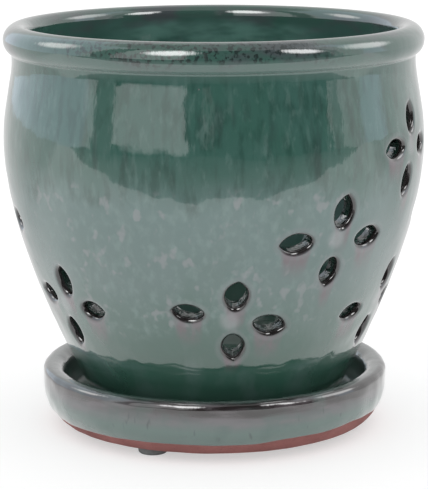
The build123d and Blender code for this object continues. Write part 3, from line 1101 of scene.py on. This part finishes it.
def glaze_material(name, heights, layers, sway, up=None, roughness=0.08, coat=1.0):
    """Stoneware glaze, dipped and fired: thick, glassy and uneven.

    The eye sees deep sea green that breaks to grey and mauve where it is thin or has run, paler
    flecks, a near-black line where it broke over an edge, and a wet-looking coat over it all. The
    slots' tunnels are darkened with painted shade, and the pot's inside at the back and the
    saucer's moat are lightened with painted light. With more roughness and less coat it looks
    dull. Heights are those above the ground and the piece has slots, or the heights come from the
    attribute that up names and it has none.
    """
    material, node = new_material(name)
    place = place_in_mm(node)
    if up:
        height = node("ShaderNodeAttribute", attribute_name=up).outputs["Fac"]
    else:
        height = node("ShaderNodeSeparateXYZ", {"Vector": place}).outputs["Z"]
    waves = node("ShaderNodeTexNoise", {"Vector": place, "Scale": 1 / SWAY_LENGTH, "Detail": 2.0})
    even = node("ShaderNodeMath", {0: waves, 1: 0.5}, operation="SUBTRACT")
    height = node("ShaderNodeMath", {0: even, 1: sway, 2: height}, operation="MULTIPLY_ADD")
    colour = glaze_colour(node, place, height, heights, layers)
    if not up:
        colour = with_slot_marks(node, place, colour)

    holes = node("ShaderNodeTexVoronoi", {"Vector": place, "Scale": 1 / PINHOLE_SPACING})
    edge = PINHOLE_RADIUS / PINHOLE_SPACING
    hole = node("ShaderNodeMapRange", {
        "Value": holes.outputs["Distance"], "From Min": edge, "From Max": PINHOLE_FLOOR_SHARE * edge,
    }, interpolation_type="SMOOTHSTEP")
    colour = node("ShaderNodeMix", {"Factor": hole, 6: colour, 7: linear(BROKEN_GLAZE_AND_SHADE)}, data_type="RGBA")
    skin = glaze_skin(node, place, hole, slotted=not up)
    bump = node("ShaderNodeBump", {"Strength": 1.0, "Distance": MM, "Height": skin})
    shader = node("ShaderNodeBsdfPrincipled", {
        "Base Color": colour, "Roughness": roughness, "IOR": 1.6, "Normal": bump,
        "Coat Weight": coat, "Coat Roughness": 0.04, "Coat IOR": 1.6, "Coat Normal": bump,
    })
    node("ShaderNodeOutputMaterial", {"Surface": shader})
    return material


# Bare clay and rubber, in mm: the size of their clouds, of the clay's grit, and the skin's depth.
# The grit is drawn a few times as coarse as the real one, which would be too fine to show.
CLAY_CLOUD = 14
CLAY_GRIT = 0.7
CLAY_DEPTH = 0.08
RUBBER_CLOUD = 3
RUBBER_DEPTH = 0.05


def clay_material():
    """Bare terracotta, fired without glaze: matt, warm, a little sandy, greyer in broad clouds."""
    material, node = new_material("terracotta_bare_fired")
    place = place_in_mm(node)
    clouds = node("ShaderNodeTexNoise", {"Vector": place, "Scale": 1 / CLAY_CLOUD, "Detail": 3.0})
    grit = node("ShaderNodeTexNoise", {"Vector": place, "Scale": 1 / CLAY_GRIT, "Detail": 2.0})
    colour = node("ShaderNodeValToRGB", {"Fac": clouds})
    set_stops(colour, ((0.32, "#885551"), (0.68, "#a16a66")))
    dark = node("ShaderNodeMapRange", {"Value": grit, "From Min": 0.58, "From Max": 0.7, "To Max": 0.45})
    speckled = node("ShaderNodeMix", {"Factor": dark, 6: colour, 7: linear("#6d4640")}, data_type="RGBA")
    bump = node("ShaderNodeBump", {"Strength": 1.0, "Distance": CLAY_DEPTH * MM, "Height": grit})
    shader = node("ShaderNodeBsdfPrincipled", {
        "Base Color": speckled, "Roughness": 0.85, "IOR": 1.5, "Normal": bump,
    })
    node("ShaderNodeOutputMaterial", {"Surface": shader})
    return material


def rubber_material():
    """Stick-on bumper, moulded rubber: grey, matt and faintly cloudy."""
    material, node = new_material("moulded_rubber")
    place = place_in_mm(node)
    clouds = node("ShaderNodeTexNoise", {"Vector": place, "Scale": 1 / RUBBER_CLOUD, "Detail": 3.0})
    colour = node("ShaderNodeValToRGB", {"Fac": clouds})
    set_stops(colour, ((0.3, "#616565"), (0.7, "#777b7b")))
    bump = node("ShaderNodeBump", {"Strength": 1.0, "Distance": RUBBER_DEPTH * MM, "Height": clouds})
    shader = node("ShaderNodeBsdfPrincipled", {
        "Base Color": colour, "Roughness": 0.6, "IOR": 1.5, "Normal": bump,
    })
    node("ShaderNodeOutputMaterial", {"Surface": shader})
    return material


# Studio, in metres: white paper and a white world, and what only the glaze reflects, which is the
# cards and lamps of a product photograph and a dim floor that begins in front of the pot. That
# floor has the far glow all over, and the near one on top, which fades by a rate for each metre.
FLOOR_FRONT_Y = -0.315
FLOOR_REACH = 3.0
DIM_FLOOR_FADING = 2.0
DIM_FLOOR_NEAR_GLOW = 0.35
DIM_FLOOR_FAR_GLOW = 0.12
STUDIO_RADIUS = 2.6
WHITE = (1.0, 1.0, 1.0, 1.0)
DAYLIGHT = (0.92, 1.02, 1.12, 1.0)
PLAIN_PAPER = (0.93, 0.93, 0.93, 1.0)
SHADED_PAPER = (0.60, 0.60, 0.60, 1.0)
BLACK = (0.0, 0.0, 0.0, 1.0)

# Name, glow, tint, bearings and elevations in degrees, width of the soft edge, and the distance as
# a share of the studio's radius
CARDS = (
    ("ceiling", 0.44, WHITE, (-180, 180), (57, 90), 8, 1.0),
    ("left_wall", 1.0, DAYLIGHT, (-155, -70), (-4, 62), 5, 0.98),
    ("left_gap", 0.2, WHITE, (-70, -54), (-4, 62), 2.0, 0.97),
    ("front_left_foot", 0.05, WHITE, (-55, -14), (-4, 4), 0.5, 0.96),
    ("front_left", 1.0, WHITE, (-51, -15), (1.0, 62), 2.5, 0.95),
    ("front_dark", 0.045, WHITE, (-15, 66), (-4, 62), 1.5, 0.94),
    ("front_streak", 0.3, WHITE, (-6, -1.5), (4, 50), 1.5, 0.93),
    ("right_edge", 0.4, WHITE, (66, 72), (-4, 62), 0.6, 0.95),
    ("right_inner", 0.85, WHITE, (72, 85), (-4, 62), 0.8, 0.96),
    ("right_wall", 1.1, DAYLIGHT, (83, 106), (-4, 62), 5.0, 0.97),
    ("right_back", 0.8, WHITE, (98, 152), (-4, 62), 5.0, 0.98),
    ("back", 0.72, WHITE, (142, 216), (-4, 62), 6.0, 0.99),
)
# Name, glow, bearings and elevations. Lamps hang further in than the cards.
LAMPS = (
    ("lamp_left", 3.2, (-122, -86), (20, 50)), ("lamp_front_left", 7.0, (-44, -7), (24, 63)),
    ("lamp_front_right", 6.0, (41, 68), (24, 60)), ("lamp_right", 3.2, (80, 122), (18, 50)),
)
LAMP_SOFTNESS = 0.5
LAMP_NEARNESS = 0.9
CARD_STEPS_ROUND = 60
CARD_STEPS_UP = 30
# A card's edge is ragged: the size of that in degrees round and up, its seed, and its strength
RAGGED_SIZE = (4, 12)
RAGGED_SEED = 50
RAGGED_SHARE = 0.5


def new_sheet(name, grid, material, cover=None):
    """A sheet from rows of points, in the scene. Cover is how solid its card is at each point."""
    bm = bmesh.new()
    layer = bm.verts.layers.float.new("cover")
    rows = [[bm.verts.new(point) for point in row] for row in grid]
    for j, row in enumerate(rows):
        for i, vertex in enumerate(row):
            vertex[layer] = cover[j][i] if cover else 1.0
    for low, high in zip(rows, rows[1:]):
        for i in range(len(low) - 1):
            bm.faces.new((low[i], low[i + 1], high[i + 1], high[i]))
    mesh = bpy.data.meshes.new(name)
    bm.to_mesh(mesh)
    bm.free()
    obj = new_object(name, mesh, material)
    return obj


def reflected_only(obj):
    """Only reflections show the object."""
    obj.visible_camera = False
    obj.visible_diffuse = False
    obj.visible_shadow = False
    obj.visible_transmission = False


def card_material(name, glow, tint):
    """A glowing card that fades out where its cover does."""
    material, node = new_material(name)
    cover = node("ShaderNodeAttribute", attribute_name="cover").outputs["Fac"]
    lit = node("ShaderNodeEmission", {"Color": tint, "Strength": glow})
    clear = node("ShaderNodeBsdfTransparent")
    card = node("ShaderNodeMixShader", {"Fac": cover, 1: clear, 2: lit})
    node("ShaderNodeOutputMaterial", {"Surface": card})
    return material


def card_cover(bearing, elevation, bearings, elevations, soft, seed):
    """How solid a card is at a point, from 0 at its ragged edge to 1. A full ring and a top have no edge."""
    sides = min(bearing - bearings[0], bearings[1] - bearing)
    if bearings[1] - bearings[0] >= 360:
        sides = math.inf
    above = math.inf if elevations[1] >= 90 else elevations[1] - elevation
    inside = min(sides, elevation - elevations[0], above)
    place = Vector((bearing / RAGGED_SIZE[0], elevation / RAGGED_SIZE[1], seed))
    return (inside + RAGGED_SHARE * soft * noise.noise(place)) / soft


def lamp_cover(bearing, elevation, bearings, elevations, soft, _):
    """How solid a lamp's oval card is at a point."""
    across = 2 * (bearing - bearings[0]) / (bearings[1] - bearings[0]) - 1
    up = 2 * (elevation - elevations[0]) / (elevations[1] - elevations[0]) - 1
    return (1 - math.hypot(across, up)) / soft


def studio_card(name, glow, tint, bearings, elevations, soft, nearness, cover_at=card_cover):
    """A curved card round the pot with soft edges."""
    radius = STUDIO_RADIUS * nearness
    grid, cover = [], []
    for elevation in np.linspace(*elevations, CARD_STEPS_UP + 1):
        row, shares = [], []
        e = math.radians(elevation)
        for bearing in np.linspace(*bearings, CARD_STEPS_ROUND + 1):
            a = math.radians(bearing)
            level = radius * math.cos(e)
            row.append((level * math.sin(a), -level * math.cos(a), radius * math.sin(e)))
            share = cover_at(bearing, elevation, bearings, elevations, soft, nearness * RAGGED_SEED)
            shares.append(min(1.0, max(0.0, share)))
        grid.append(row)
        cover.append(shares)
    reflected_only(new_sheet(name, grid, card_material(name, glow, tint), cover))


def flat_grid(low, high, z):
    return [[(low[0], low[1], z), (high[0], low[1], z)], [(low[0], high[1], z), (high[0], high[1], z)]]


def floor_material():
    """Seamless white paper, which the camera and the glaze see lit up and the pot's light sees plain.

    The glaze sees it dimmed behind the pot, where the pot's shade would lie.
    """
    material, node = new_material("white_paper")
    rays = node("ShaderNodeLightPath").outputs
    seen = node("ShaderNodeMath", {0: rays["Is Camera Ray"], 1: rays["Is Glossy Ray"]}, operation="MAXIMUM")
    seen = node("ShaderNodeMath", {0: seen, 1: rays["Is Transmission Ray"]}, operation="MAXIMUM")
    plain = node("ShaderNodeBsdfDiffuse", {"Color": PLAIN_PAPER})
    shadowed = node("ShaderNodeBsdfDiffuse", {"Color": SHADED_PAPER})
    glow = node("ShaderNodeEmission", {"Color": WHITE, "Strength": 0.51})
    bright = node("ShaderNodeAddShader", {0: shadowed, 1: glow})
    metres = node("ShaderNodeTexCoord").outputs["Object"]
    y = node("ShaderNodeSeparateXYZ", {"Vector": metres}).outputs["Y"]
    behind = node("ShaderNodeMapRange", {"Value": y, "From Min": -0.02, "From Max": 0.15, "To Max": 0.32},
                  interpolation_type="SMOOTHSTEP")
    dimmed = node("ShaderNodeMath", {0: behind, 1: rays["Is Glossy Ray"]}, operation="MULTIPLY")
    unlit = node("ShaderNodeBsdfDiffuse", {"Color": BLACK})
    bright = node("ShaderNodeMixShader", {"Fac": dimmed, 1: bright, 2: unlit})
    paper = node("ShaderNodeMixShader", {"Fac": seen, 1: plain, 2: bright})
    node("ShaderNodeOutputMaterial", {"Surface": paper})
    return material


def front_floor_material():
    """Dim floor in front of the paper, fading with distance, which only the glaze reflects."""
    material, node = new_material("dim_floor")
    metres = node("ShaderNodeTexCoord").outputs["Object"]
    y = node("ShaderNodeSeparateXYZ", {"Vector": metres}).outputs["Y"]
    away = node("ShaderNodeMath", {
        0: y, 1: DIM_FLOOR_FADING, 2: -DIM_FLOOR_FADING * FLOOR_FRONT_Y,
    }, operation="MULTIPLY_ADD")
    fading = node("ShaderNodeMath", {0: away}, operation="EXPONENT")
    strength = node("ShaderNodeMath", {0: fading, 1: DIM_FLOOR_NEAR_GLOW, 2: DIM_FLOOR_FAR_GLOW},
                    operation="MULTIPLY_ADD")
    glow = node("ShaderNodeEmission", {"Color": WHITE, "Strength": strength})
    node("ShaderNodeOutputMaterial", {"Surface": glow})
    return material


def make_studio():
    corner = (-FLOOR_REACH, -FLOOR_REACH)
    new_sheet("floor", flat_grid(corner, (FLOOR_REACH, FLOOR_REACH), 0), floor_material())
    front = flat_grid(corner, (FLOOR_REACH, FLOOR_FRONT_Y), MM)
    reflected_only(new_sheet("front_floor", front, front_floor_material()))
    for card in CARDS:
        studio_card(*card)
    for name, glow, bearings, elevations in LAMPS:
        studio_card(name, glow, WHITE, bearings, elevations, LAMP_SOFTNESS, LAMP_NEARNESS, lamp_cover)
    world = bpy.data.worlds.new("white_studio")
    bpy.context.scene.world = world
    world.use_nodes = True
    background = world.node_tree.nodes["Background"].inputs
    background["Color"].default_value = WHITE
    background["Strength"].default_value = 1.0


# The photograph's camera, fitted to the outlines of the saucer, the wall and the rim: its place in
# metres, its angles in degrees, and its focal length and the picture's height in pixels
CAMERA_PLACE = (-0.00005, -0.8242, 0.2383)
CAMERA_PITCH = 11.465
CAMERA_ROLL = 0.163
FOCAL_PIXELS = 2106.3
PICTURE_HEIGHT = 489


def make_camera():
    data = bpy.data.cameras.new("photo_camera")
    # The sensor's width lies along the picture's longer side, which is its height
    data.sensor_width = 36.0
    data.lens = FOCAL_PIXELS * data.sensor_width / PICTURE_HEIGHT
    data.clip_start, data.clip_end = 0.05, 20
    camera = bpy.data.objects.new("photo_camera", data)
    tilt = Matrix.Rotation(math.pi / 2 - math.radians(CAMERA_PITCH), 4, "X")
    roll = Matrix.Rotation(-math.radians(CAMERA_ROLL), 4, "Z")
    camera.matrix_world = Matrix.Translation(CAMERA_PLACE) @ tilt @ roll
    bpy.context.scene.collection.objects.link(camera)
    bpy.context.scene.camera = camera


pot_glaze = glaze_material("sea_green_glaze", POT_HEIGHTS, POT_LAYERS, POT_SWAY)
on_saucer = {"heights": SAUCER_HEIGHTS, "layers": SAUCER_LAYERS, "sway": SAUCER_SWAY, "up": "up_side"}
saucer_glaze = glaze_material("sea_green_glaze_saucer", **on_saucer)
dull_glaze = glaze_material("sea_green_glaze_dull", **on_saucer, roughness=0.3, coat=0.25)
clay = clay_material()
rubber = rubber_material()
pot = make_pot(pot_glaze)
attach(pot, "pot")
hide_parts("pot")
saucer = make_saucer(saucer_glaze, clay, dull_glaze)
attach(saucer, "saucer")
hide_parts("saucer")
for number in (1, 2, 3):
    foot = make_foot(f"rubber_foot_{number}", rubber)
    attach(foot, "saucer")
    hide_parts(f"rubber_foot_{number}")

make_studio()
make_camera()
bpy.context.scene.view_settings.view_transform = "Standard"
